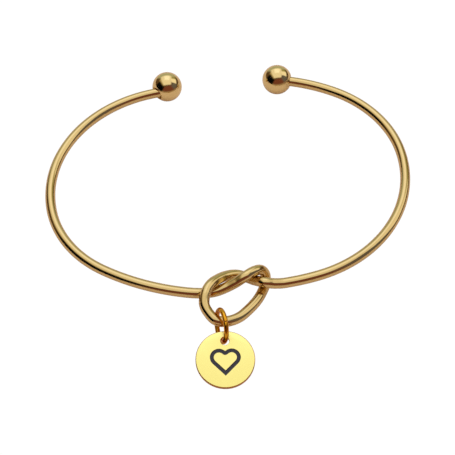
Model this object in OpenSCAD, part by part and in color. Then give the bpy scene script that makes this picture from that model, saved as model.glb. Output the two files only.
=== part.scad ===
// Open charm bangle: one round wire bent into a hoop and tied in an open love knot,
// a ball on each end, and a round disc charm that hangs from the knot on a jump ring.
// It lies on its side. The origin is on the surface, under the middle of the hoop,
// with the knot toward -Y and the opening toward +Y.

/* [Hoop] */
// Width across the outside of the hoop
hoop_w = 63.8; // [58:0.2:72]
// Diameter of the wire
wire_d = 1.75; // [1.5:0.05:1.75]

/* [End balls] */
// Diameter of the two balls
ball_d = 5.4; // [5.2:0.1:6.4]
// Distance from the left ball's centre to the middle of its hole, across the wire
left_hole_off = 1; // [0:0.1:1]
// Distance from the right ball's centre to the middle of its hole, across the wire
right_hole_off = 0; // [0:0.1:1]
// Play between the wire and the hole in a ball, on the diameter
ball_play = 0.1; // [0.06:0.02:0.2]
// Width of the flat round the hole in a ball
spot_face_rim = 0.3; // [0.2:0.05:0.4]
// Length of straight wire outside each ball
straight_end = 0.3; // [0.2:0.05:0.6]

/* [Knot] */
// Width across the outside of the knot
knot_w = 12.75; // [11.5:0.25:14]
// Clear space that each crossing of the knot is laid out with
strand_gap = 0.25; // [0.25:0.05:0.4]
// Slope of the knot's face, its front edge down, in degrees
knot_tilt = 5; // [4:0.5:6]

/* [Jump ring] */
// Outer diameter of the jump ring
ring_od = 6; // [5.9:0.1:6.2]
// Diameter of its wire
ring_wire_d = 0.8; // [0.6:0.05:0.8]
// Width of the saw cut where its ends meet
ring_cut = 0.08; // [0.04:0.02:0.2]
// Play between the ring and the bangle's wire inside it
ring_play = 0.25; // [0.2:0.05:0.4]

/* [Charm disc] */
// Diameter of the disc
disc_d = 9.5; // [8.5:0.1:11]
// Thickness of the disc
disc_t = 0.8; // [0.6:0.05:0.8]
// Radius of its rounded edges
disc_edge_r = 0.15; // [0.05:0.01:0.25]
// Play between the jump ring's wire and the hole that it passes, on the diameter
disc_hole_play = 0.65; // [0.6:0.05:0.8]
// Metal between the hole and the disc's edge
disc_hole_rim = 0.95; // [0.8:0.05:1.1]
// Width of the engraved heart
heart_w = 4.9; // [3.5:0.1:5.2]
// Width of the heart's engraved line
heart_line = 0.6; // [0.4:0.05:0.8]
// Depth of the engraving
heart_depth = 0.1; // [0.08:0.01:0.25]
// Distance from the disc's middle down to the heart's middle
heart_drop = 0.5; // [0.3:0.05:0.6]

/* [Hidden] */
GOLD = "#d9b25f";
PALE_GOLD = "#f4dc8a";
RING_GOLD = "#b98a35";
ROUND_FN = 96;

// The balls stand on the surface and hold the wire at their middle
wire_z = ball_d / 2;

// The knot's middle in plan, as shares of the hoop's width
KNOT_SHIFT = -0.028;
KNOT_FORWARD = 0.354;
knot_at = [KNOT_SHIFT, -KNOT_FORWARD] * hoop_w;
// The unit of the knot's table: the width across its outer strands, between wire middles
knot_span = knot_w - wire_d;
// Height between two strands that cross
strand_pitch = wire_d + strand_gap;

// Each arm leaves the knot at its foot, in the direction of its heading, and runs
// through these tangent arcs to a straight end inside its ball. The feet are in shares
// of the knot's span, and the arcs' radii in shares of how far the arm reaches sideways.
// Columns: radius, turn in degrees (positive to the left)
RADIUS = 0;
TURN = 1;
LEFT_FOOT = [-0.765, 0.023];
LEFT_HEADING = 164.6;
LEFT_ARM = [
    [2.04, -22.3],
    [1.011, -47.6],
    [1.222, -87.7]
];
RIGHT_FOOT = [0.673, -0.018];
RIGHT_HEADING = 2;
RIGHT_ARM = [
    [1.72, 8.7],
    [1.058, 80.5],
    [0.903, 53.7],
    [1.305, 15.5]
];
// Distance between the points of an arm, in wire diameters
ARM_STEP = 1.03;
arm_step = ARM_STEP * wire_d;
// A scale at which an arm has enough points to measure how far it reaches
FINE = 3;
fine_scale = FINE * hoop_w;
// The straight end starts outside the ball and stops at its middle
arm_end = ball_d / 2 + straight_end;

// The knot from the left foot to the right foot, on its tilted face.
// Columns: across (to the right) and along (up the face) in shares of the knot's span,
// and lift, as a share of the height between two strands that cross
ACROSS = 0;
ALONG = 1;
LIFT = 2;
KNOT = [
    // left wire, under the left strand, then as a band over the upper strand
    [-0.64, 0, -0.05],
    [-0.505, -0.005, -0.15],
    [-0.35, -0.003, -0.12],
    [-0.19, 0.022, 0.08],
    [-0.035, 0.05, 0.45],
    [0.11, 0.095, 0.82],
    [0.253, 0.176, 0.7],
    // tight turn at the upper right, and down under the right wire
    [0.367, 0.228, 0.27],
    [0.43, 0.205, -0.3],
    [0.42, 0.1, -0.76],
    [0.35, -0.047, -0.63],
    // open loop, round the bottom to the left
    [0.244, -0.214, -0.36],
    [0.09, -0.38, -0.1],
    [-0.085, -0.52, 0.14],
    [-0.27, -0.58, 0.34],
    [-0.425, -0.555, 0.5],
    [-0.52, -0.43, 0.62],
    [-0.564, -0.285, 0.76],
    // over the left wire and round the upper left
    [-0.52, -0.12, 0.92],
    [-0.425, 0.022, 0.87],
    [-0.29, 0.14, 0.49],
    [-0.145, 0.225, 0.05],
    [0.005, 0.256, -0.28],
    // under the band, then over the loop and out to the right
    [0.14, 0.21, -0.42],
    [0.255, 0.112, -0.17],
    [0.375, 0.012, 0.28],
    [0.51, -0.015, 0.15]
];
KNOT_STEPS = 5;
WIRE_SIDES = 14;

// Ball holes: a flat is spot-faced round each one
spot_face_d = wire_d + 2 * spot_face_rim;

// The jump ring stands on the surface round the knot's lower left strand and leans to
// the right. The strand crosses it at this place of the knot's table, counted in rows
// from the left foot, a little aslant, so the wire takes up more of the ring's inside.
RING_ROW = 15.6;
RING_TURN = 6;
RING_LEAN = 10;
WIRE_ASLANT = 1.25;
// Where its cut is, as an angle round the ring
RING_CUT_AT = 200;
ring_r = (ring_od - ring_wire_d) / 2;
ring_z = ring_r * cos(RING_LEAN) + ring_wire_d / 2;
// How far its middle may hang from the strand, split into its rise and its reach forward
ring_hang = ring_r - ring_wire_d / 2 - WIRE_ASLANT * wire_d / 2 - ring_play;

// The disc lies with its far edge propped on the jump ring and its near edge on the surface
DISC_PITCH = 14;
DISC_TURN = -7;
disc_r = disc_d / 2;
disc_hole_d = ring_wire_d + disc_hole_play;
hole_off = disc_r - disc_hole_rim - disc_hole_d / 2;
hole_z = (disc_r - disc_edge_r + hole_off) * sin(DISC_PITCH)
    + (disc_t / 2 - disc_edge_r) * cos(DISC_PITCH) + disc_edge_r;
// The ring passes on the near side of the hole's middle, by this share of the play
HOLE_SHARE = 0.15;
// A heart is a square on its corner with a half disc on each upper side
heart_side = heart_w / (1 + 1 / sqrt(2));

function unit(v) = v / norm(v);
function last(list) = list[len(list) - 1];
function reversed(list) = [for (i = [len(list) - 1:-1:0]) list[i]];
function at_height(points, z) = [for (p = points) [p.x, p.y, z]];

// Points along one arc, without its first one
function arc_points(from, heading, radius, turn) =
    let (
        steps = max(2, round(radius * abs(turn) * PI / 180 / arm_step)),
        side = sign(turn) * radius,
        middle = from + side * [-sin(heading), cos(heading)]
    )
    [for (i = [1:steps])
        let (a = heading + turn * i / steps)
        middle + side * [sin(a), -cos(a)]];

// Points along an arm after its foot: the arcs in turn, then the straight end
function arm_points(from, heading, arcs, scale, i = 0) =
    i == len(arcs)
    ? [for (share = [0.15, 1]) from + share * arm_end * [cos(heading), sin(heading)]]
    : let (arc = arc_points(from, heading, arcs[i][RADIUS] * scale, arcs[i][TURN]))
      concat(arc, arm_points(last(arc), heading + arcs[i][TURN], arcs, scale, i + 1));

// The arcs' scale with which an arm reaches as far to the side as the hoop's width asks
function arm_scale(foot, heading, arcs) =
    let (
        side = sign(foot.x - knot_at.x),
        reach = hoop_w / 2 - wire_d / 2 - side * foot.x,
        unit_reach = max([for (p = arm_points([0, 0], heading, arcs, fine_scale)) side * p.x])
            / fine_scale
    )
    reach / unit_reach;

function turn_total(arcs, i = 0) = i == len(arcs) ? 0 : arcs[i][TURN] + turn_total(arcs, i + 1);

// A row of the knot's table as a point in space
function knot_point(row) =
    let (
        up = row[ALONG] * knot_span,
        lift = row[LIFT] * strand_pitch
    )
    [
        knot_at.x + row[ACROSS] * knot_span,
        knot_at.y + up * cos(knot_tilt) - lift * sin(knot_tilt),
        wire_z + up * sin(knot_tilt) + lift * cos(knot_tilt)
    ];

// One stretch of a Catmull-Rom curve, from b to c
function stretch(a, b, c, d) =
    [for (i = [0:KNOT_STEPS - 1])
        let (t = i / KNOT_STEPS)
        (2 * b + (c - a) * t + (2 * a - 5 * b + 4 * c - d) * t * t
            + (3 * b - a - 3 * c + d) * t * t * t) / 2];

// The curve through all points but the first and the last
function curve(points) =
    [for (i = [1:len(points) - 3])
        each stretch(points[i - 1], points[i], points[i + 1], points[i + 2])];

function arm_plan(foot, heading, arcs) =
    concat([foot], arm_points(foot, heading, arcs, arm_scale(foot, heading, arcs)));

left_plan = arm_plan(knot_at + LEFT_FOOT * knot_span, LEFT_HEADING, LEFT_ARM);
right_plan = arm_plan(knot_at + RIGHT_FOOT * knot_span, RIGHT_HEADING, RIGHT_ARM);
left_arm = at_height(left_plan, wire_z);
right_arm = at_height(right_plan, wire_z);
knot_curve = curve(concat(
    [left_arm[1], left_arm[0]],
    [for (row = KNOT) knot_point(row)],
    [right_arm[0], right_arm[1]]
));
// The wire's middle line from the left ball to the right ball
wire_line = concat(reversed([for (i = [1:len(left_arm) - 1]) left_arm[i]]), knot_curve, right_arm);

// The point where the strand crosses the jump ring, and the ring's own directions
ring_step = round(RING_ROW * KNOT_STEPS);
ring_crossing = knot_curve[ring_step];
ring_forward = [sin(RING_TURN), -cos(RING_TURN), 0];
ring_up = [sin(RING_LEAN) * cos(RING_TURN), sin(RING_LEAN) * sin(RING_TURN), cos(RING_LEAN)];
ring_rise = (ring_z - ring_crossing.z) / cos(RING_LEAN);
ring_reach = sqrt(max(0, pow(ring_hang, 2) - pow(ring_rise, 2)));
ring_middle = ring_crossing + ring_reach * ring_forward + ring_rise * ring_up;
// The disc's hole is where the ring comes down to its height
hole_drop = (hole_z - ring_z) / cos(RING_LEAN);
hole_reach = sqrt(pow(ring_r, 2) - pow(hole_drop, 2)) + HOLE_SHARE * disc_hole_play;
hole_middle = ring_middle + hole_reach * ring_forward + hole_drop * ring_up;

left_end_heading = LEFT_HEADING + turn_total(LEFT_ARM);
right_end_heading = RIGHT_HEADING + turn_total(RIGHT_ARM);

// Direction of the line at each of its points
function tangents(line) =
    [for (i = [0:len(line) - 1])
        unit(line[min(i + 1, len(line) - 1)] - line[max(i - 1, 0)])];

// A side direction at each point that follows the line without twisting
function side_directions(along) =
    [for (i = 0, n = [0, 0, 1]; i < len(along);
        i = i + 1, n = i < len(along) ? unit(n - (n * along[i]) * along[i]) : n)
        unit(n - (n * along[i]) * along[i])];

// A round bar along a line of points
module round_bar(line, d, sides) {
    along = tangents(line);
    up = side_directions(along);
    rings = [for (i = [0:len(line) - 1])
        let (across = cross(along[i], up[i]))
        for (k = [0:sides - 1])
            line[i] + d / 2 * (cos(360 * k / sides) * up[i] + sin(360 * k / sides) * across)];
    first_cap = [[for (k = [0:sides - 1]) k]];
    last_cap = [[for (k = [sides - 1:-1:0]) (len(line) - 1) * sides + k]];
    walls = [for (i = [0:len(line) - 2], k = [0:sides - 1])
        let (next = (k + 1) % sides)
        [i * sides + k, (i + 1) * sides + k, (i + 1) * sides + next, i * sides + next]];
    polyhedron(points = rings, faces = concat(first_cap, walls, last_cap), convexity = 10);
}

module bangle_wire() {
    color(GOLD) round_bar(wire_line, wire_d, WIRE_SIDES);
}

// A half-drilled ball with its hole toward -X and the wire's end at the origin
module end_ball(hole_off_centre) {
    face_at = sqrt(pow(ball_d / 2, 2) - pow(hole_off_centre + spot_face_d / 2, 2));
    difference() {
        translate([0, hole_off_centre, 0])
            sphere(d = ball_d, $fn = ROUND_FN);
        translate([-ball_d, 0, 0])
            rotate([0, 90, 0])
            cylinder(d = wire_d + ball_play, h = ball_d + ball_play, $fn = ROUND_FN);
        translate([-face_at - ball_d, 0, 0])
            rotate([0, 90, 0])
            cylinder(d = spot_face_d, h = ball_d, $fn = ROUND_FN);
    }
}

module end_ball_left() {
    color(GOLD)
        translate(wire_line[0])
        rotate([0, 0, left_end_heading])
        end_ball(left_hole_off);
}

module end_ball_right() {
    color(GOLD)
        translate(last(wire_line))
        rotate([0, 0, right_end_heading])
        end_ball(right_hole_off);
}

module jump_ring() {
    cut_angle = ring_cut / ring_r * 180 / PI;
    color(RING_GOLD)
        translate(ring_middle)
        rotate([0, 90 + RING_LEAN, RING_TURN])
        rotate([0, 0, RING_CUT_AT + cut_angle / 2])
        rotate_extrude(angle = 360 - cut_angle, $fn = ROUND_FN)
        translate([ring_r, 0])
        circle(d = ring_wire_d, $fn = ROUND_FN);
}

// Half of the disc's section: a plate with rounded corners
module disc_section() {
    square([disc_r - disc_edge_r, disc_t]);
    translate([0, disc_edge_r])
        square([disc_r, disc_t - 2 * disc_edge_r]);
    for (y = [disc_edge_r, disc_t - disc_edge_r])
        translate([disc_r - disc_edge_r, y])
        circle(r = disc_edge_r, $fn = ROUND_FN);
}

// A heart on its point, smaller by inset all round, with its cleft at the origin
module heart(inset) {
    side = heart_side;
    difference() {
        union() {
            rotate(225)
                square(side - inset);
            for (x = [-1, 1])
                translate([x, -1] * side / (2 * sqrt(2)))
                circle(d = side - 2 * inset, $fn = ROUND_FN);
        }
        if (inset > 0) circle(r = inset, $fn = ROUND_FN);
    }
}

// The disc with its hole at the origin, its middle toward -Y and its face up
module charm_disc() {
    heart_mid_drop = heart_side * (sqrt(2) - (1 - 1 / sqrt(2)) / 2) / 2;
    color(PALE_GOLD)
        translate(hole_middle)
        rotate([DISC_PITCH, 0, DISC_TURN])
        difference() {
            translate([0, -hole_off, -disc_t / 2])
                rotate_extrude($fn = ROUND_FN)
                disc_section();
            translate([0, 0, -disc_t])
                cylinder(d = disc_hole_d, h = 2 * disc_t, $fn = ROUND_FN);
            translate([0, -hole_off - heart_drop + heart_mid_drop, disc_t / 2 - heart_depth])
                linear_extrude(disc_t)
                difference() {
                    heart(0);
                    heart(heart_line);
                }
        }
}

bangle_wire();
end_ball_left();
end_ball_right();
jump_ring();
charm_disc();
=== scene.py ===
"""Dresses an open charm bangle: gold-plated wire, balls, ring and disc, with a studio and a camera."""

import math

import bpy
from mathutils import Euler, Matrix, Vector


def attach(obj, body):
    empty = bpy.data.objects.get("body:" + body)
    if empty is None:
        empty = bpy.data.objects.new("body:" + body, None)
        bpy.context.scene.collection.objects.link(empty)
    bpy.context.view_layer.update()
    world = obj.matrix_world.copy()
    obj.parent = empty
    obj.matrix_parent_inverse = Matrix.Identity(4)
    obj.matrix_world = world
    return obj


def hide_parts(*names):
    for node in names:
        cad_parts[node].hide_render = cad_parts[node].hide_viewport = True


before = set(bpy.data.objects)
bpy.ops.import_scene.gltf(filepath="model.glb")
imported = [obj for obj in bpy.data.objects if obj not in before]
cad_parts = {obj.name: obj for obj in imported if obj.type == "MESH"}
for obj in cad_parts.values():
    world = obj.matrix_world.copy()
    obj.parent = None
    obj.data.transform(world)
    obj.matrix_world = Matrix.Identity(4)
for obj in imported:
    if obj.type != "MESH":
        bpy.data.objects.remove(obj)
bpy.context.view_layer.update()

bl_info = {
    "name": "Charm Bangle",
    "version": (1, 0, 0),
    "blender": (4, 5, 0),
    "location": "View3D > Sidebar > Bangle",
    "description": "Models an open wire bangle with end balls and a disc charm, and lights it",
    "category": "Add Mesh",
}

MM = 0.001

# The knot's middle in plan, as shares of the hoop's width
KNOT_SHIFT = -0.028
KNOT_FORWARD = 0.354

# Each arm: where it leaves the knot in shares of the knot's span, its heading in degrees there, and its
# tangent arcs as (radius in shares of how far the arm reaches sideways, turn in degrees to the left)
LEFT_FOOT = (-0.765, 0.023)
LEFT_HEADING = 164.6
LEFT_ARM = [(2.04, -22.3), (1.011, -47.6), (1.222, -87.7)]
RIGHT_FOOT = (0.673, -0.018)
RIGHT_HEADING = 2
RIGHT_ARM = [(1.72, 8.7), (1.058, 80.5), (0.903, 53.7), (1.305, 15.5)]
# Distance between the points of an arm, in wire diameters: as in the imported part, and finer
COARSE_STEP = 1.03
FINE_STEP = 0.25
# A trial arm is this many hoop widths in scale, so that it has enough points to measure its reach
TRIAL_SCALE = 3

# The knot from its left foot to its right foot, on its tilted face: across and along in shares of the
# knot's span, and lift as a share of the height between two strands that cross
KNOT = [
    # left wire, under the left strand, then as a band over the upper strand
    (-0.64, 0, -0.05),
    (-0.505, -0.005, -0.15),
    (-0.35, -0.003, -0.12),
    (-0.19, 0.022, 0.08),
    (-0.035, 0.05, 0.45),
    (0.11, 0.095, 0.82),
    (0.253, 0.176, 0.7),
    # tight turn at the upper right, and down under the right wire
    (0.367, 0.228, 0.27),
    (0.43, 0.205, -0.3),
    (0.42, 0.1, -0.76),
    (0.35, -0.047, -0.63),
    # open loop, round the bottom to the left
    (0.244, -0.214, -0.36),
    (0.09, -0.38, -0.1),
    (-0.085, -0.52, 0.14),
    (-0.27, -0.58, 0.34),
    (-0.425, -0.555, 0.5),
    (-0.52, -0.43, 0.62),
    (-0.564, -0.285, 0.76),
    # over the left wire and round the upper left
    (-0.52, -0.12, 0.92),
    (-0.425, 0.022, 0.87),
    (-0.29, 0.14, 0.49),
    (-0.145, 0.225, 0.05),
    (0.005, 0.256, -0.28),
    # under the band, then over the loop and out to the right
    (0.14, 0.21, -0.42),
    (0.255, 0.112, -0.17),
    (0.375, 0.012, 0.28),
    (0.51, -0.015, 0.15),
]
# Points of the wire's line from one row to the next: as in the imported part, and finer
KNOT_STEPS = 5
KNOT_FINE_STEPS = 15

# The jump ring stands on the surface round the knot's lower left strand, and leans to the right: its
# place in the knot's rows, its turn and lean in degrees, the strand's width in wire diameters where the
# ring crosses it aslant, and the saw cut's place round the ring in degrees
RING_ROW = 15.6
RING_TURN = 6
RING_LEAN = 10
WIRE_ASLANT = 1.25
RING_CUT_AT = 200

# The disc lies with its far edge propped on the jump ring and its near edge on the surface: its slope
# and turn in degrees, and the share of its hole's play that it has slid forward
DISC_PITCH = 14
DISC_TURN = -7
HOLE_SHARE = 0.15

# Radii of the small rounded edges, in millimetres: of the balls' holes, of the ring's ends, and of the
# disc's hole and engraving
BALL_EDGE_R = 0.05
RING_EDGE_R = 0.06
CUT_EDGE_R = 0.03

# The point in the frame's middle, just behind the knot, in millimetres, the frame's width in pixels, and
# the width of the sensor that the focal length is worked out for
AIM = (-1.785, -9.925, 2.7)
FRAME_PX = 455
SENSOR_MM = 36


def to_linear(hex_colour):
    """Turns an sRGB hex colour into linear red, green, blue and alpha."""
    parts = [int(hex_colour[i:i + 2], 16) / 255 for i in (1, 3, 5)]
    return [c / 12.92 if c <= 0.04045 else ((c + 0.055) / 1.055) ** 2.4 for c in parts] + [1.0]


def colour_property(name, description, hex_colour):
    """A colour that the user can change, with its sRGB hex value to start from."""
    return bpy.props.FloatVectorProperty(
        name=name, description=description, default=to_linear(hex_colour)[:3],
        subtype="COLOR", size=3, min=0, max=1)


def length_property(name, description, millimetres):
    """A length that the user can change, shown in the scene's units."""
    return bpy.props.FloatProperty(
        name=name, description=description, default=millimetres * MM,
        subtype="DISTANCE", unit="LENGTH", min=0)


class BangleSizes(bpy.types.PropertyGroup):
    """The real sizes of the bangle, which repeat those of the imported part."""
    hoop_w: length_property("Hoop width", "Width across the outside of the hoop", 63.8)
    wire_d: length_property("Wire diameter", "Diameter of the bangle's wire", 1.75)
    ball_d: length_property("Ball diameter", "Diameter of the two end balls", 5.4)
    left_hole_off: length_property("Left hole offset", "Left ball's centre to its hole", 1)
    right_hole_off: length_property("Right hole offset", "Right ball's centre to its hole", 0)
    ball_play: length_property("Ball play", "Play of the wire in a ball's hole, on the diameter", 0.1)
    spot_face_rim: length_property("Spot face rim", "Width of the flat round a ball's hole", 0.3)
    straight_end: length_property("Straight end", "Length of straight wire outside each ball", 0.3)
    knot_w: length_property("Knot width", "Width across the outside of the knot", 12.75)
    strand_gap: length_property("Strand gap", "Clear space of each crossing of the knot", 0.25)
    knot_tilt: bpy.props.FloatProperty(
        name="Knot tilt", description="Slope of the knot's face, its front edge down",
        default=math.radians(5), subtype="ANGLE", unit="ROTATION")
    ring_od: length_property("Ring diameter", "Outer diameter of the jump ring", 6)
    ring_wire_d: length_property("Ring wire", "Diameter of the jump ring's wire", 0.8)
    ring_cut: length_property("Ring cut", "Width of the saw cut where the ring's ends meet", 0.08)
    ring_play: length_property("Ring play", "Play between the ring and the bangle's wire", 0.25)
    disc_d: length_property("Disc diameter", "Diameter of the charm", 9.5)
    disc_t: length_property("Disc thickness", "Thickness of the charm", 0.8)
    disc_edge_r: length_property("Disc edge", "Radius of the disc's rounded edges", 0.15)
    disc_hole_play: length_property("Disc hole play", "Play of the ring in the disc's hole", 0.65)
    disc_hole_rim: length_property("Disc hole rim", "Metal between the hole and the edge", 0.95)
    heart_w: length_property("Heart width", "Width of the engraved heart", 4.9)
    heart_line: length_property("Heart line", "Width of the heart's engraved line", 0.6)
    heart_depth: length_property("Heart depth", "Depth of the engraving", 0.1)
    heart_drop: length_property("Heart drop", "Disc's middle down to the heart's middle", 0.5)


class BangleFinish(bpy.types.PropertyGroup):
    """The colours of the plating, of the engraving and of the surface below."""
    # The wire's gold is darker and redder than the balls' gold: painted shade that dims the arms, and a
    # painted red reflection of gold in gold for the knot
    wire_gold: colour_property("Wire gold with painted shade", "Plating of the wire", "#dabf82")
    ball_gold: colour_property("Ball gold", "Plating of the balls", "#e8cd8d")
    ring_gold: colour_property("Ring gold", "Plating of the jump ring", "#e6a52c")
    # The disc's gold is lighter and paler than the balls' gold: painted light, for the bright light that
    # its face mirrors
    disc_gold: colour_property("Disc gold with painted light", "Plating of the disc's faces", "#fff092")
    # The rim's deeper, redder gold is painted shade: the edges and the hole's wall mirror the shaded
    # surface under the disc
    rim_gold_painted_shade: colour_property("Rim gold with painted shade", "Plating of the disc's polished edges", "#d8953a")
    engraving: colour_property("Engraving", "Darkened floor of the engraved line", "#45454f")
    paper: colour_property("Paper", "Plain surface that the bangle lies on", "#ffffff")
    warm_paper: colour_property("Warm paper", "The surface as the gold mirrors it", "#ffeee9")


class BangleStudio(bpy.types.PropertyGroup):
    """The camera's place and the strength of the light."""
    camera_turn: bpy.props.FloatProperty(
        name="Camera turn", description="Camera's turn round the bangle, from straight in front",
        default=math.radians(-8.6), subtype="ANGLE", unit="ROTATION")
    camera_rise: bpy.props.FloatProperty(
        name="Camera rise", description="Camera's angle above the surface",
        default=math.radians(52), subtype="ANGLE", unit="ROTATION")
    camera_far: length_property("Camera distance", "Distance from the camera to what it aims at", 242.4)
    camera_focal_px: bpy.props.FloatProperty(
        name="Focal length", description="Focal length, in pixels of the photograph", default=1430)
    light: bpy.props.FloatProperty(
        name="Light", description="Strength of all the light", default=1.31, min=0)


def sizes():
    return bpy.context.scene.bangle_sizes


def finish():
    return bpy.context.scene.bangle_finish


def in_mm(name):
    """A length of the bangle in millimetres."""
    return getattr(sizes(), name) / MM


# Middle line of the wire, in millimetres


def on_circle(middle, radius, degrees):
    """The point of a circle at an angle from +X."""
    angle = math.radians(degrees)
    return middle + radius * Vector((math.cos(angle), math.sin(angle)))


def arm_points(start, heading, arcs, scale, step):
    """The points of an arm after its foot, along its arcs, and its heading at the end."""
    points = []
    here = start
    for radius, turn in arcs:
        radius *= scale
        side = math.copysign(1, turn)
        count = max(2, round(radius * math.radians(abs(turn)) / (step * in_mm("wire_d"))))
        middle = on_circle(here, radius, heading + side * 90)
        for i in range(1, count + 1):
            points.append(on_circle(middle, radius, heading - side * 90 + turn * i / count))
        here = points[-1]
        heading += turn
    return points, heading


def arm_scale(foot, heading, arcs):
    """The arcs' scale with which an arm reaches as far sideways as the hoop's width asks."""
    side = math.copysign(1, foot.x - KNOT_SHIFT * in_mm("hoop_w"))
    reach = in_mm("hoop_w") / 2 - in_mm("wire_d") / 2 - side * foot.x
    scale = TRIAL_SCALE * in_mm("hoop_w")
    trial, _ = arm_points(Vector((0, 0)), heading, arcs, scale, COARSE_STEP)
    return reach / (max(side * p.x for p in trial) / scale)


def arm(foot_share, heading, arcs, step):
    """An arm from its foot to its ball's middle, and its heading there."""
    foot = knot_middle() + Vector(foot_share) * (in_mm("knot_w") - in_mm("wire_d"))
    points, heading = arm_points(foot, heading, arcs, arm_scale(foot, heading, arcs), step)
    points.append(on_circle(points[-1], in_mm("ball_d") / 2 + in_mm("straight_end"), heading))
    height = in_mm("ball_d") / 2
    return [Vector((p.x, p.y, height)) for p in [foot] + points], heading


def knot_middle():
    """The knot's middle in plan."""
    return Vector((KNOT_SHIFT, -KNOT_FORWARD)) * in_mm("hoop_w")


def knot_point(row):
    """A row of the knot as a point on its tilted face, at its lift above or below it."""
    across, along, lift = row
    tilt = sizes().knot_tilt
    up = along * (in_mm("knot_w") - in_mm("wire_d"))
    rise = lift * (in_mm("wire_d") + in_mm("strand_gap"))
    middle = knot_middle()
    return Vector((
        middle.x + across * (in_mm("knot_w") - in_mm("wire_d")),
        middle.y + up * math.cos(tilt) - rise * math.sin(tilt),
        in_mm("ball_d") / 2 + up * math.sin(tilt) + rise * math.cos(tilt)))


def smooth_curve(points, steps):
    """A Catmull-Rom curve through all points but the first and the last."""
    line = []
    for a, b, c, d in zip(points, points[1:], points[2:], points[3:]):
        for i in range(steps):
            t = i / steps
            line.append((2 * b + (c - a) * t + (2 * a - 5 * b + 4 * c - d) * t ** 2
                         + (3 * b - a - 3 * c + d) * t ** 3) / 2)
    return line


def knot_line(steps):
    """The knot from its left foot to its right foot. Each arm's first bend gives the curve its ends."""
    left, _ = arm(LEFT_FOOT, LEFT_HEADING, LEFT_ARM, COARSE_STEP)
    right, _ = arm(RIGHT_FOOT, RIGHT_HEADING, RIGHT_ARM, COARSE_STEP)
    rows = [knot_point(row) for row in KNOT]
    return smooth_curve([left[1], left[0]] + rows + [right[0], right[1]], steps)


def wire_line():
    """The whole wire, from the left ball round the knot to the right ball."""
    left, _ = arm(LEFT_FOOT, LEFT_HEADING, LEFT_ARM, FINE_STEP)
    right, _ = arm(RIGHT_FOOT, RIGHT_HEADING, RIGHT_ARM, FINE_STEP)
    return left[:0:-1] + knot_line(KNOT_FINE_STEPS) + right


def ring_place():
    """The middle of the jump ring and the directions in its plane: forward, and up."""
    turn, lean = math.radians(RING_TURN), math.radians(RING_LEAN)
    radius = (in_mm("ring_od") - in_mm("ring_wire_d")) / 2
    hang = radius - in_mm("ring_wire_d") / 2 - WIRE_ASLANT * in_mm("wire_d") / 2 - in_mm("ring_play")
    crossing = knot_line(KNOT_STEPS)[round(RING_ROW * KNOT_STEPS)]
    forward = Vector((math.sin(turn), -math.cos(turn), 0))
    up = Vector((math.sin(lean) * math.cos(turn), math.sin(lean) * math.sin(turn), math.cos(lean)))
    rise = (radius * math.cos(lean) + in_mm("ring_wire_d") / 2 - crossing.z) / math.cos(lean)
    reach = math.sqrt(max(0, hang ** 2 - rise ** 2))
    return crossing + reach * forward + rise * up, forward, up


def hole_offset():
    """How far the disc's hole is from its middle."""
    hole_r = (in_mm("ring_wire_d") + in_mm("disc_hole_play")) / 2
    return in_mm("disc_d") / 2 - in_mm("disc_hole_rim") - hole_r


def arc(middle_x, middle_y, radius, start, turn, steps=24):
    """Points of an arc, from an angle and through a turn in degrees."""
    angles = [math.radians(start + turn * i / steps) for i in range(steps + 1)]
    return [(middle_x + radius * math.cos(a), middle_y + radius * math.sin(a)) for a in angles]


def heart_outline(side, inset, cleft_y):
    """A heart on its point, smaller by inset all round: two round lobes on a square on its corner."""
    lobe = side / (2 * math.sqrt(2))
    radius = side / 2 - inset
    tip = (0, cleft_y - math.sqrt(2) * (side - inset))
    right = arc(lobe, cleft_y - lobe, radius, -45, 180)
    cleft = arc(0, cleft_y, inset, -45, -90)[1:-1] if inset > 0 else []
    left = arc(-lobe, cleft_y - lobe, radius, 45, 180)
    return [tip] + right[:-1] + (right[-1:] + cleft if inset > 0 else []) + left


def disc_place():
    """The middle of the disc's hole."""
    middle, forward, up = ring_place()
    pitch = math.radians(DISC_PITCH)
    edge_r = in_mm("disc_edge_r")
    radius = (in_mm("ring_od") - in_mm("ring_wire_d")) / 2
    height = ((in_mm("disc_d") / 2 - edge_r + hole_offset()) * math.sin(pitch)
              + (in_mm("disc_t") / 2 - edge_r) * math.cos(pitch) + edge_r)
    drop = (height - middle.z) / math.cos(math.radians(RING_LEAN))
    reach = math.sqrt(radius ** 2 - drop ** 2) + HOLE_SHARE * in_mm("disc_hole_play")
    return middle + reach * forward + drop * up


# Modelling steps


def deselect():
    if bpy.context.object and bpy.context.object.mode != "OBJECT":
        bpy.ops.object.mode_set(mode="OBJECT")
    bpy.ops.object.select_all(action="DESELECT")


def make_active(piece):
    deselect()
    piece.select_set(True)
    bpy.context.view_layer.objects.active = piece


def added(name):
    """Names the object that was just added."""
    piece = bpy.context.object
    piece.name = name
    piece.data.name = name
    return piece


def add_cylinder(name, diameter, low, high, at=(0, 0), vertices=96):
    """An upright cylinder, all in millimetres."""
    deselect()
    bpy.ops.mesh.primitive_cylinder_add(
        vertices=vertices, radius=diameter / 2 * MM, depth=(high - low) * MM,
        location=(at[0] * MM, at[1] * MM, (low + high) / 2 * MM))
    bpy.ops.object.transform_apply(location=True, rotation=True, scale=True)
    return added(name)


def combine(piece, other, operation):
    """Joins another solid to the piece, or cuts it out, and deletes it."""
    make_active(piece)
    bpy.ops.object.modifier_add(type="BOOLEAN")
    step = piece.modifiers[-1]
    step.operation = operation
    step.solver = "EXACT"
    step.object = other
    bpy.ops.object.modifier_apply(modifier=step.name)
    bpy.data.objects.remove(other)


def round_edges(piece, width, segments, sharper_than=30):
    """Rounds the edges at which the surface turns by more than an angle, given in degrees."""
    make_active(piece)
    bpy.ops.object.modifier_add(type="BEVEL")
    step = piece.modifiers[-1]
    step.width = width * MM
    step.segments = segments
    step.limit_method = "ANGLE"
    step.angle_limit = math.radians(sharper_than)
    step.harden_normals = False
    bpy.ops.object.modifier_apply(modifier=step.name)


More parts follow.
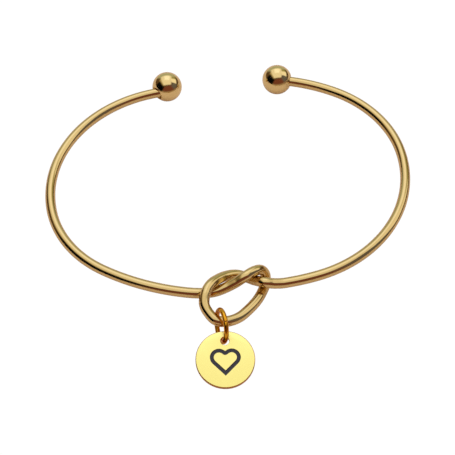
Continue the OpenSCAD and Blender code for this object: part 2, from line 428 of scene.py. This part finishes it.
def settle(piece, place):
    """Moves a finished piece to its place and puts that place in its mesh."""
    make_active(piece)
    piece.matrix_world = place @ piece.matrix_world
    bpy.ops.object.transform_apply(location=True, rotation=True, scale=True)


def place_at(point, rotation=(0, 0, 0)):
    """A point in millimetres, and turns in degrees about X, then Y, then Z, as a matrix."""
    turns = Euler([math.radians(a) for a in rotation], "XYZ")
    return Matrix.Translation(Vector(point) * MM) @ turns.to_matrix().to_4x4()


def smooth_shading(piece, angle=35):
    """Shades the piece smooth, but for edges at which it turns by more than an angle in degrees."""
    make_active(piece)
    bpy.ops.object.shade_smooth_by_angle(angle=math.radians(angle))


def even_normals(piece):
    """Keeps large flat faces flat to the eye beside their rounded edges."""
    make_active(piece)
    bpy.ops.object.modifier_add(type="WEIGHTED_NORMAL")
    step = piece.modifiers[-1]
    step.mode = "FACE_AREA"
    step.weight = 100
    step.keep_sharp = True
    bpy.ops.object.modifier_apply(modifier=step.name)


def dress(piece, node, slot, *materials):
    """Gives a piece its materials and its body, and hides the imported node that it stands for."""
    piece.data.materials.clear()
    for material in materials:
        piece.data.materials.append(material)
    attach(piece, "root")
    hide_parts(node)


# Materials


def add_node(tree, kind, inputs=None, **settings):
    """Adds a node with its settings. Inputs maps a socket to a value, or to the output that feeds it."""
    node = tree.nodes.new(kind)
    for key, value in settings.items():
        setattr(node, key, value)
    for key, value in (inputs or {}).items():
        if isinstance(value, bpy.types.NodeSocket):
            tree.links.new(value, node.inputs[key])
        else:
            node.inputs[key].default_value = value
    return node


def new_material(name):
    material = bpy.data.materials.new(name)
    material.use_nodes = True
    material.node_tree.nodes.clear()
    return material, material.node_tree


def with_surface(tree, shader):
    """Ends a material with its shader."""
    add_node(tree, "ShaderNodeOutputMaterial", {"Surface": shader.outputs[0]})


def gold_plate(name, colour, roughness, ripple, tarnish, wear=1.4):
    """Bright gold plating on polished brass: a clean mirror with a little unevenness from polishing.

    The ripple is the depth of the hollows in millimetres, tarnish is what the colour is multiplied by in
    them, and wear is the factor by which the wiping marks raise and lower the roughness."""
    material, tree = new_material(name)
    place = add_node(tree, "ShaderNodeTexCoord").outputs["Object"]
    # Polishing leaves soft hollows 3.5 mm apart, which bend the reflections
    hollows = add_node(tree, "ShaderNodeTexNoise", {
        "Vector": place, "Scale": 1 / (3.5 * MM), "Detail": 1.5})
    # Wiping marks a quarter of a millimetre apart, coarser than real ones, so that they show
    marks = add_node(tree, "ShaderNodeTexNoise", {
        "Vector": place, "Scale": 1 / (0.25 * MM), "Detail": 3})
    bump = add_node(tree, "ShaderNodeBump", {
        "Strength": 1, "Distance": ripple * MM, "Height": hollows.outputs["Fac"]})
    # Nearly all of the noise lies between 0.3 and 0.7
    dullness = add_node(tree, "ShaderNodeMapRange", {
        "Value": marks.outputs["Fac"], "From Min": 0.3, "From Max": 0.7,
        "To Min": roughness / wear, "To Max": roughness * wear})
    deep = [c * t for c, t in zip(colour, tarnish)] + [1]
    tone = add_node(tree, "ShaderNodeMix", {
        0: hollows.outputs["Fac"], 6: deep, 7: list(colour) + [1]}, data_type="RGBA")
    with_surface(tree, add_node(tree, "ShaderNodeBsdfPrincipled", {
        "Base Color": tone.outputs[2], "Metallic": 1.0, "Roughness": dullness.outputs["Result"],
        "Normal": bump.outputs["Normal"]}))
    return material


def wire_gold_plate_painted_shade():
    """Drawn wire, bent and then buffed: a mirror, with hollows from the bending that ripple it. Its gold
    carries painted shade, darker and redder than the balls' gold.
    """
    return gold_plate("polished_gold_plated_wire_painted_shade", finish().wire_gold,
                      roughness=0.11, ripple=0.05, tarnish=(0.96, 0.9, 0.82))


def polished_ball_gold():
    """Turned balls, tumbled and plated: a round mirror without a ripple."""
    return gold_plate("polished_gold_plated_ball", finish().ball_gold,
                      roughness=0.11, ripple=0.004, tarnish=(0.98, 0.96, 0.93))


def tumbled_ring_gold():
    """Thin cut wire, tumbled and plated in bulk: a deeper, browner gold, less bright than the wire."""
    return gold_plate("tumbled_gold_plated_ring", finish().ring_gold,
                      roughness=0.16, ripple=0.01, tarnish=(0.85, 0.75, 0.6))


def disc_gold_plate_painted_light():
    """The faces of a stamped blank: a flat satin that spreads the light evenly. Their lighter, paler
    gold is painted light.
    """
    return gold_plate("stamped_gold_plated_disc_painted_light", finish().disc_gold,
                      roughness=0.26, ripple=0.002, tarnish=(0.99, 0.98, 0.95), wear=1.05)


def rim_gold_plate_painted_shade():
    """The blank's edges, rounded and polished by tumbling: a clear mirror, whose deeper, redder gold is
    painted shade.
    """
    return gold_plate("polished_gold_plated_rim_painted_shade", finish().rim_gold_painted_shade,
                      roughness=0.12, ripple=0.002, tarnish=(0.95, 0.9, 0.8))


def blackened_engraving():
    """The floor of a laser engraving: burnt metal, dull and almost black, with a fine grain."""
    material, tree = new_material("laser_blackened_brass")
    place = add_node(tree, "ShaderNodeTexCoord").outputs["Object"]
    # The laser's spots lie about 0.06 mm apart
    grain = add_node(tree, "ShaderNodeTexNoise", {
        "Vector": place, "Scale": 1 / (0.06 * MM), "Detail": 2})
    dark, light = ([c * share for c in finish().engraving] + [1] for share in (0.75, 1.25))
    tone = add_node(tree, "ShaderNodeMix", {
        0: grain.outputs["Fac"], 6: dark, 7: light}, data_type="RGBA")
    with_surface(tree, add_node(tree, "ShaderNodeBsdfPrincipled", {
        "Base Color": tone.outputs[2], "Metallic": 0.0, "Roughness": 0.75}))
    return material


def matt_card(name, colour, whiteness, glow):
    """Matt card, without grain or shine. Its glow stands for light that reaches it from all round."""
    material, tree = new_material(name)
    card = add_node(tree, "ShaderNodeBsdfDiffuse", {"Color": [c * whiteness for c in colour] + [1]})
    shine = add_node(tree, "ShaderNodeEmission", {"Color": list(colour) + [1], "Strength": glow})
    with_surface(tree, add_node(tree, "ShaderNodeAddShader", {0: card.outputs[0], 1: shine.outputs[0]}))
    return material


# Studio light, all of it in the world: soft panels in a dark room, each over those before it


# Columns: turn from the back of the scene to the right and rise above the surface, both in degrees, half
# width and half height as tangents, softness of the edge, colour, strength
PANELS = [
    # the low wall behind the camera, the dark red-brown room above it, and to the right of it dark grey
    (180, 2, 3, 0.16, 0.1, "#ffe4cc", 0.3),
    (165, 31, 1.3, 0.42, 0.2, "#ff9c88", 0.15),
    (112, 28, 0.4, 0.38, 0.22, "#e8e8ff", 0.14),
    # the tall wall to the left, above the black card
    (-85, 54, 0.6, 0.3, 0.15, "#ffeec0", 0.36),
    # the pale walls behind the scene and to its right
    (4, 14, 0.8, 0.55, 0.25, "#f3fff0", 0.42),
    (55, 30, 0.2, 0.25, 0.1, "#ffffb0", 0.3),
    # the ceiling, and its far part to the right
    (0, 76, 0.7, 0.94, 0.2, "#ffffff", 0.76),
    (76, 38, 0.27, 0.35, 0.08, "#ffffff", 0.85),
    # the soft light, high up and a little behind the bangle
    (8, 60, 0.28, 0.34, 0.12, "#eaf0ff", 1.2),
    # black card at the left
    (-106, 23, 0.62, 0.47, 0.16, "#101418", 0.3),
]
# The room behind all panels
ROOM = "#54422e"

# The card: its width and the height of its turned-up edges, in metres, its glow as the camera sees it,
# and, as the gold mirrors it, its depth under the surface in millimetres, its whiteness and its glow
CARD_WIDE = 3
CARD_EDGE = 1
SEEN_GLOW = 1.03
MIRRORED_LOW = 0.02
MIRRORED_WHITENESS = 0.85
MIRRORED_GLOW = 0.15


def panel_cover(tree, direction, turn, rise, half_width, half_height, edge):
    """How much of a flat panel lies in a direction: 1 on the panel and 0 off it."""
    turn, rise = math.radians(turn), math.radians(rise)
    axes = {
        "ahead": (math.sin(turn) * math.cos(rise), math.cos(turn) * math.cos(rise), math.sin(rise)),
        "across": (math.cos(turn), -math.sin(turn), 0),
        "above": (-math.sin(turn) * math.sin(rise), -math.cos(turn) * math.sin(rise), math.cos(rise)),
    }
    along = {}
    for name, axis in axes.items():
        share = add_node(tree, "ShaderNodeVectorMath", {0: direction, 1: axis}, operation="DOT_PRODUCT")
        along[name] = share.outputs["Value"]
    # A panel covers nothing that is behind the viewer
    front = add_node(tree, "ShaderNodeMath", {0: along["ahead"], 1: 0.01}, operation="GREATER_THAN")
    cover = front.outputs[0]
    for name, half in (("across", half_width), ("above", half_height)):
        share = add_node(tree, "ShaderNodeMath", {0: along[name], 1: along["ahead"]}, operation="DIVIDE")
        away = add_node(tree, "ShaderNodeMath", {0: share.outputs[0]}, operation="ABSOLUTE")
        inside = add_node(tree, "ShaderNodeMapRange", {
            "Value": away.outputs[0], "From Min": half - edge, "From Max": half + edge,
            "To Min": 1, "To Max": 0}, interpolation_type="SMOOTHSTEP")
        both = add_node(tree, "ShaderNodeMath", {0: cover, 1: inside.outputs[0]}, operation="MULTIPLY")
        cover = both.outputs[0]
    return cover


def studio_light(strength):
    """The room and its panels, laid over each other in the world's colour."""
    world = bpy.data.worlds.new("studio")
    bpy.context.scene.world = world
    world.use_nodes = True
    tree = world.node_tree
    tree.nodes.clear()
    direction = add_node(tree, "ShaderNodeTexCoord").outputs["Generated"]
    light = add_node(tree, "ShaderNodeRGB").outputs[0]
    light.default_value = to_linear(ROOM)
    for turn, rise, half_width, half_height, edge, colour, power in PANELS:
        glow = [c * power for c in to_linear(colour)[:3]] + [1]
        cover = panel_cover(tree, direction, turn, rise, half_width, half_height, edge)
        light = add_node(tree, "ShaderNodeMix", {0: cover, 6: light, 7: glow},
                         data_type="RGBA", clamp_result=False).outputs[2]
    background = add_node(tree, "ShaderNodeBackground", {"Color": light, "Strength": strength})
    add_node(tree, "ShaderNodeOutputWorld", {"Surface": background.outputs[0]})


# Operators


class BANGLE_OT_wire(bpy.types.Operator):
    """Model the hoop, its arms and the knot as one round wire"""
    bl_idname = "bangle.wire"
    bl_label = "Bangle Wire"

    def execute(self, context):
        line = [p * MM for p in wire_line()]
        deselect()
        bpy.ops.curve.primitive_nurbs_path_add(location=(0, 0, 0))
        wire = added("bangle_wire_polished")
        bpy.ops.object.mode_set(mode="EDIT")
        bpy.ops.curve.spline_type_set(type="POLY")
        for point in wire.data.splines[0].points[1:]:
            point.select = True
        wire.data.splines[0].points[0].select = False
        bpy.ops.curve.delete(type="VERT")
        # The one point that is left goes to the line's start, and the rest is extruded from it
        bpy.ops.curve.select_all(action="SELECT")
        start = wire.data.splines[0].points[0].co.to_3d()
        bpy.ops.transform.translate(value=line[0] - start)
        for here, there in zip(line, line[1:]):
            bpy.ops.curve.extrude_move(TRANSFORM_OT_translate={"value": there - here})
        bpy.ops.object.mode_set(mode="OBJECT")
        wire.data.dimensions = "3D"
        wire.data.bevel_depth = sizes().wire_d / 2
        wire.data.bevel_resolution = 8
        wire.data.use_fill_caps = True
        make_active(wire)
        bpy.ops.object.convert(target="MESH")
        wire = bpy.context.object
        smooth_shading(wire)
        # The wire's gold carries painted shade
        dress(wire, "bangle_wire", "wire_gold", wire_gold_plate_painted_shade())
        return {"FINISHED"}


class BANGLE_OT_balls(bpy.types.Operator):
    """Model the two half-drilled balls on the wire's ends"""
    bl_idname = "bangle.balls"
    bl_label = "End Balls"

    def execute(self, context):
        left, left_heading = arm(LEFT_FOOT, LEFT_HEADING, LEFT_ARM, FINE_STEP)
        right, right_heading = arm(RIGHT_FOOT, RIGHT_HEADING, RIGHT_ARM, FINE_STEP)
        gold = polished_ball_gold()
        for name, end, heading, off in (
                ("end_ball_left", left[-1], left_heading, in_mm("left_hole_off")),
                ("end_ball_right", right[-1], right_heading, in_mm("right_hole_off"))):
            ball = self.drilled_ball(name + "_polished", off)
            settle(ball, place_at(end, (0, 0, heading)))
            smooth_shading(ball)
            even_normals(ball)
            dress(ball, name, "ball_gold", gold)
        return {"FINISHED"}

    def drilled_ball(self, name, off):
        """A ball with its hole toward -X and the wire's end at the origin."""
        ball_d = in_mm("ball_d")
        spot_face_d = in_mm("wire_d") + 2 * in_mm("spot_face_rim")
        face_at = math.sqrt((ball_d / 2) ** 2 - (off + spot_face_d / 2) ** 2)
        deselect()
        bpy.ops.mesh.primitive_uv_sphere_add(segments=96, ring_count=64, radius=ball_d / 2 * MM)
        ball = added(name)
        settle(ball, place_at((0, off, 0)))
        bore = add_cylinder("bore", in_mm("wire_d") + in_mm("ball_play"), 0, 2 * ball_d)
        combine(ball, bore, "DIFFERENCE")
        pocket = add_cylinder("pocket", spot_face_d, face_at, 2 * ball_d)
        combine(ball, pocket, "DIFFERENCE")
        round_edges(ball, BALL_EDGE_R, 2)
        # The hole was drilled from above: it is laid over
        settle(ball, Matrix.Rotation(math.radians(-90), 4, "Y"))
        return ball


class BANGLE_OT_jump_ring(bpy.types.Operator):
    """Model the cut jump ring round the knot's lower left strand"""
    bl_idname = "bangle.jump_ring"
    bl_label = "Jump Ring"

    def execute(self, context):
        radius = (in_mm("ring_od") - in_mm("ring_wire_d")) / 2
        cut = in_mm("ring_cut") / radius
        deselect()
        bpy.ops.mesh.primitive_circle_add(
            vertices=32, radius=sizes().ring_wire_d / 2, fill_type="NGON",
            location=(radius * MM, 0, 0), rotation=(math.radians(90), 0, 0))
        ring = added("jump_ring_polished")
        bpy.ops.object.transform_apply(location=True, rotation=True, scale=True)
        bpy.ops.object.mode_set(mode="EDIT")
        bpy.ops.mesh.select_all(action="SELECT")
        bpy.ops.mesh.spin(
            steps=144, angle=2 * math.pi - cut, center=(0, 0, 0), axis=(0, 0, 1))
        bpy.ops.mesh.select_all(action="SELECT")
        bpy.ops.mesh.remove_doubles(threshold=0.0005 * MM)
        bpy.ops.mesh.normals_make_consistent(inside=False)
        bpy.ops.object.mode_set(mode="OBJECT")
        round_edges(ring, RING_EDGE_R, 3, sharper_than=60)
        settle(ring, Matrix.Rotation(math.radians(RING_CUT_AT) + cut / 2, 4, "Z"))
        middle, _, _ = ring_place()
        settle(ring, place_at(middle, (0, 90 + RING_LEAN, RING_TURN)))
        smooth_shading(ring)
        dress(ring, "jump_ring", "ring_gold", tumbled_ring_gold())
        return {"FINISHED"}


class BANGLE_OT_charm_disc(bpy.types.Operator):
    """Model the disc with its rounded edge, its hole and the engraved heart"""
    bl_idname = "bangle.charm_disc"
    bl_label = "Charm Disc"

    def execute(self, context):
        half_t = in_mm("disc_t") / 2
        middle_y = -hole_offset()
        disc = add_cylinder("charm_disc_polished", in_mm("disc_d"), -half_t, half_t, (0, middle_y), 192)
        round_edges(disc, in_mm("disc_edge_r"), 5)
        hole_d = in_mm("ring_wire_d") + in_mm("disc_hole_play")
        combine(disc, add_cylinder("hole", hole_d, -2 * half_t, 2 * half_t), "DIFFERENCE")
        # The side of the heart's square, and how far the heart's middle is under its cleft
        side = in_mm("heart_w") / (1 + 1 / math.sqrt(2))
        cleft_y = (middle_y - in_mm("heart_drop")
                   + side * (math.sqrt(2) - (1 - 1 / math.sqrt(2)) / 2) / 2)
        floor = half_t - in_mm("heart_depth")
        line = self.heart("heart", side, 0, floor, 2 * half_t, cleft_y)
        core = self.heart("core", side, in_mm("heart_line"), floor - half_t, 3 * half_t, cleft_y)
        combine(line, core, "DIFFERENCE")
        combine(disc, line, "DIFFERENCE")
        round_edges(disc, CUT_EDGE_R, 2)
        marks = self.face_finishes(disc, middle_y, hole_d, half_t)
        settle(disc, place_at(disc_place(), (DISC_PITCH, 0, DISC_TURN)))
        smooth_shading(disc, 15)
        # The disc's faces carry painted light, and its edges and hole carry painted shade
        dress(disc, "charm_disc", "disc_gold",
              disc_gold_plate_painted_light(), blackened_engraving(), rim_gold_plate_painted_shade())
        disc.data.polygons.foreach_set("material_index", marks)
        return {"FINISHED"}

    def face_finishes(self, disc, middle_y, hole_d, half_t):
        """The finish of each face: 0 for the satin faces, 1 for the engraved line, 2 for the edges, with
        their painted shade.
        """
        depth = in_mm("heart_depth")
        marks = []
        for face in disc.data.polygons:
            place = face.center / MM
            # The hole's wall and its rounded edge take the rim's painted shade too
            on_hole = math.hypot(place.x, place.y) < hole_d / 2 + 2 * CUT_EDGE_R
            # The polish and its painted shade reach over most of the rounded edge, and the black up most
            # of the line's wall
            from_middle = math.hypot(place.x, place.y - middle_y)
            on_edge = from_middle > in_mm("disc_d") / 2 - 0.8 * in_mm("disc_edge_r")
            engraved = half_t - 1.2 * depth < place.z < half_t - 0.35 * depth
            marks.append(2 if on_hole or on_edge else 1 if engraved else 0)
        return marks

    def heart(self, name, side, inset, low, high, cleft_y):
        """An upright solid heart, smaller than the engraved one by inset all round."""
        outline = heart_outline(side, inset, cleft_y)
        deselect()
        bpy.ops.mesh.primitive_circle_add(vertices=len(outline), fill_type="NGON")
        heart = added(name)
        for vertex, (x, y) in zip(heart.data.vertices, outline):
            vertex.co = (x * MM, y * MM, low * MM)
        bpy.ops.object.mode_set(mode="EDIT")
        bpy.ops.mesh.select_all(action="SELECT")
        bpy.ops.mesh.extrude_region_move(
            TRANSFORM_OT_translate={"value": (0, 0, (high - low) * MM)})
        bpy.ops.mesh.select_all(action="SELECT")
        bpy.ops.mesh.normals_make_consistent(inside=False)
        bpy.ops.object.mode_set(mode="OBJECT")
        return heart


class BANGLE_OT_stage(bpy.types.Operator):
    """Set the camera, the surface and the light"""
    bl_idname = "bangle.stage"
    bl_label = "Stage"

    def execute(self, context):
        studio = context.scene.bangle_studio
        self.surface()
        self.camera(studio)
        studio_light(studio.light)
        context.scene.view_settings.view_transform = "Standard"
        return {"FINISHED"}

    def surface(self):
        """The white surface twice: as the camera sees it, evenly bright, and as the gold mirrors it."""
        seen = self.card("card_seen", 0, matt_card("bright_matt_card", finish().paper, 0, SEEN_GLOW))
        seen.visible_glossy = False
        seen.visible_diffuse = False
        # Its edges are turned up, so that a low view has the card for its background too
        make_active(seen)
        bpy.ops.object.mode_set(mode="EDIT")
        bpy.ops.mesh.select_all(action="SELECT")
        bpy.ops.mesh.extrude_edges_move(TRANSFORM_OT_translate={"value": (0, 0, CARD_EDGE)})
        bpy.ops.object.mode_set(mode="OBJECT")
        mirrored = self.card("card_mirrored", MIRRORED_LOW, matt_card(
            "shaded_matt_card", finish().warm_paper, MIRRORED_WHITENESS, MIRRORED_GLOW))
        mirrored.visible_camera = False

    def card(self, name, low, material):
        """A flat card under the bangle, low millimetres under the surface. It throws no shadow."""
        deselect()
        bpy.ops.mesh.primitive_plane_add(size=CARD_WIDE, location=(0, 0, -low * MM))
        card = added(name)
        card.data.materials.append(material)
        card.visible_shadow = False
        return card

    def camera(self, studio):
        """The camera at the photograph's viewing angle."""
        aim = Vector(AIM) * MM
        turn, rise = studio.camera_turn, studio.camera_rise
        back = Vector((
            math.sin(turn) * math.cos(rise), -math.cos(turn) * math.cos(rise), math.sin(rise)))
        deselect()
        bpy.ops.object.camera_add(location=aim + studio.camera_far * back)
        camera = added("camera")
        camera.rotation_euler = back.to_track_quat("Z", "Y").to_euler()
        camera.data.sensor_width = SENSOR_MM
        camera.data.lens = studio.camera_focal_px * SENSOR_MM / FRAME_PX
        camera.data.clip_start = 0.01
        camera.data.dof.use_dof = False
        bpy.context.scene.camera = camera


class BANGLE_PT_panel(bpy.types.Panel):
    """Lists the bangle's pieces and their sizes"""
    bl_idname = "BANGLE_PT_panel"
    bl_label = "Charm Bangle"
    bl_space_type = "VIEW_3D"
    bl_region_type = "UI"
    bl_category = "Bangle"

    def draw(self, context):
        for operator in OPERATORS:
            self.layout.operator(operator.bl_idname)
        for name, group in GROUPS.items():
            box = self.layout.box()
            for setting in group.__annotations__:
                box.prop(getattr(context.scene, name), setting)


GROUPS = {"bangle_sizes": BangleSizes, "bangle_finish": BangleFinish, "bangle_studio": BangleStudio}
OPERATORS = (
    BANGLE_OT_wire, BANGLE_OT_balls, BANGLE_OT_jump_ring, BANGLE_OT_charm_disc, BANGLE_OT_stage)


def register():
    for cls in (*GROUPS.values(), *OPERATORS, BANGLE_PT_panel):
        bpy.utils.register_class(cls)
    for name, group in GROUPS.items():
        setattr(bpy.types.Scene, name, bpy.props.PointerProperty(type=group))


def unregister():
    for name in GROUPS:
        delattr(bpy.types.Scene, name)
    for cls in reversed((*GROUPS.values(), *OPERATORS, BANGLE_PT_panel)):
        bpy.utils.unregister_class(cls)


def main():
    register()
    bpy.ops.bangle.wire()
    bpy.ops.bangle.balls()
    bpy.ops.bangle.jump_ring()
    bpy.ops.bangle.charm_disc()
    bpy.ops.bangle.stage()


if __name__ == "__main__":
    main()
